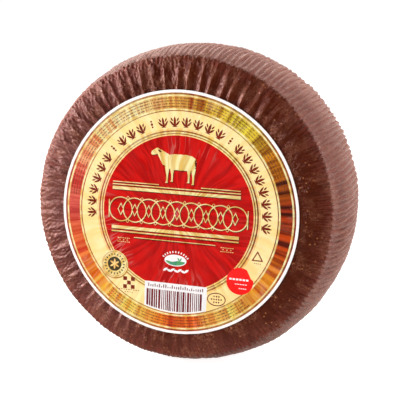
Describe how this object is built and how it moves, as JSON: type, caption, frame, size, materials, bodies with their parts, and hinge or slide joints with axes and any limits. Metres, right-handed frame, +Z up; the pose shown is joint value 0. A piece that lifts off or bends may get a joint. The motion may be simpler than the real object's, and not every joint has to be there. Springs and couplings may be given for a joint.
{
  "type": "wheel of hard cheese",
  "caption": "Drum-shaped wheel of hard sheep's cheese in a brown coated rind with pressed folds, standing on its rim, with a round printed label on one face.",
  "frame": {"origin": "middle of the flat spot on the rim that the wheel stands on, under the middle of the whole object", "axes": "+Z up; the wheel's own axis runs along Y, the label faces -Y and the plain back faces +Y; X runs across the wheel"},
  "size_m": [0.187, 0.0926, 0.1861],
  "materials": {
    "rind": "dark brown cheese coating, satin, with a fine leathery grain",
    "label": "glossy printed foil paper in red, cream and gold with a white border"
  },
  "bodies": {
    "root": {"cheese_wheel": "rind", "label": "label"}
  },
  "joints": []
}
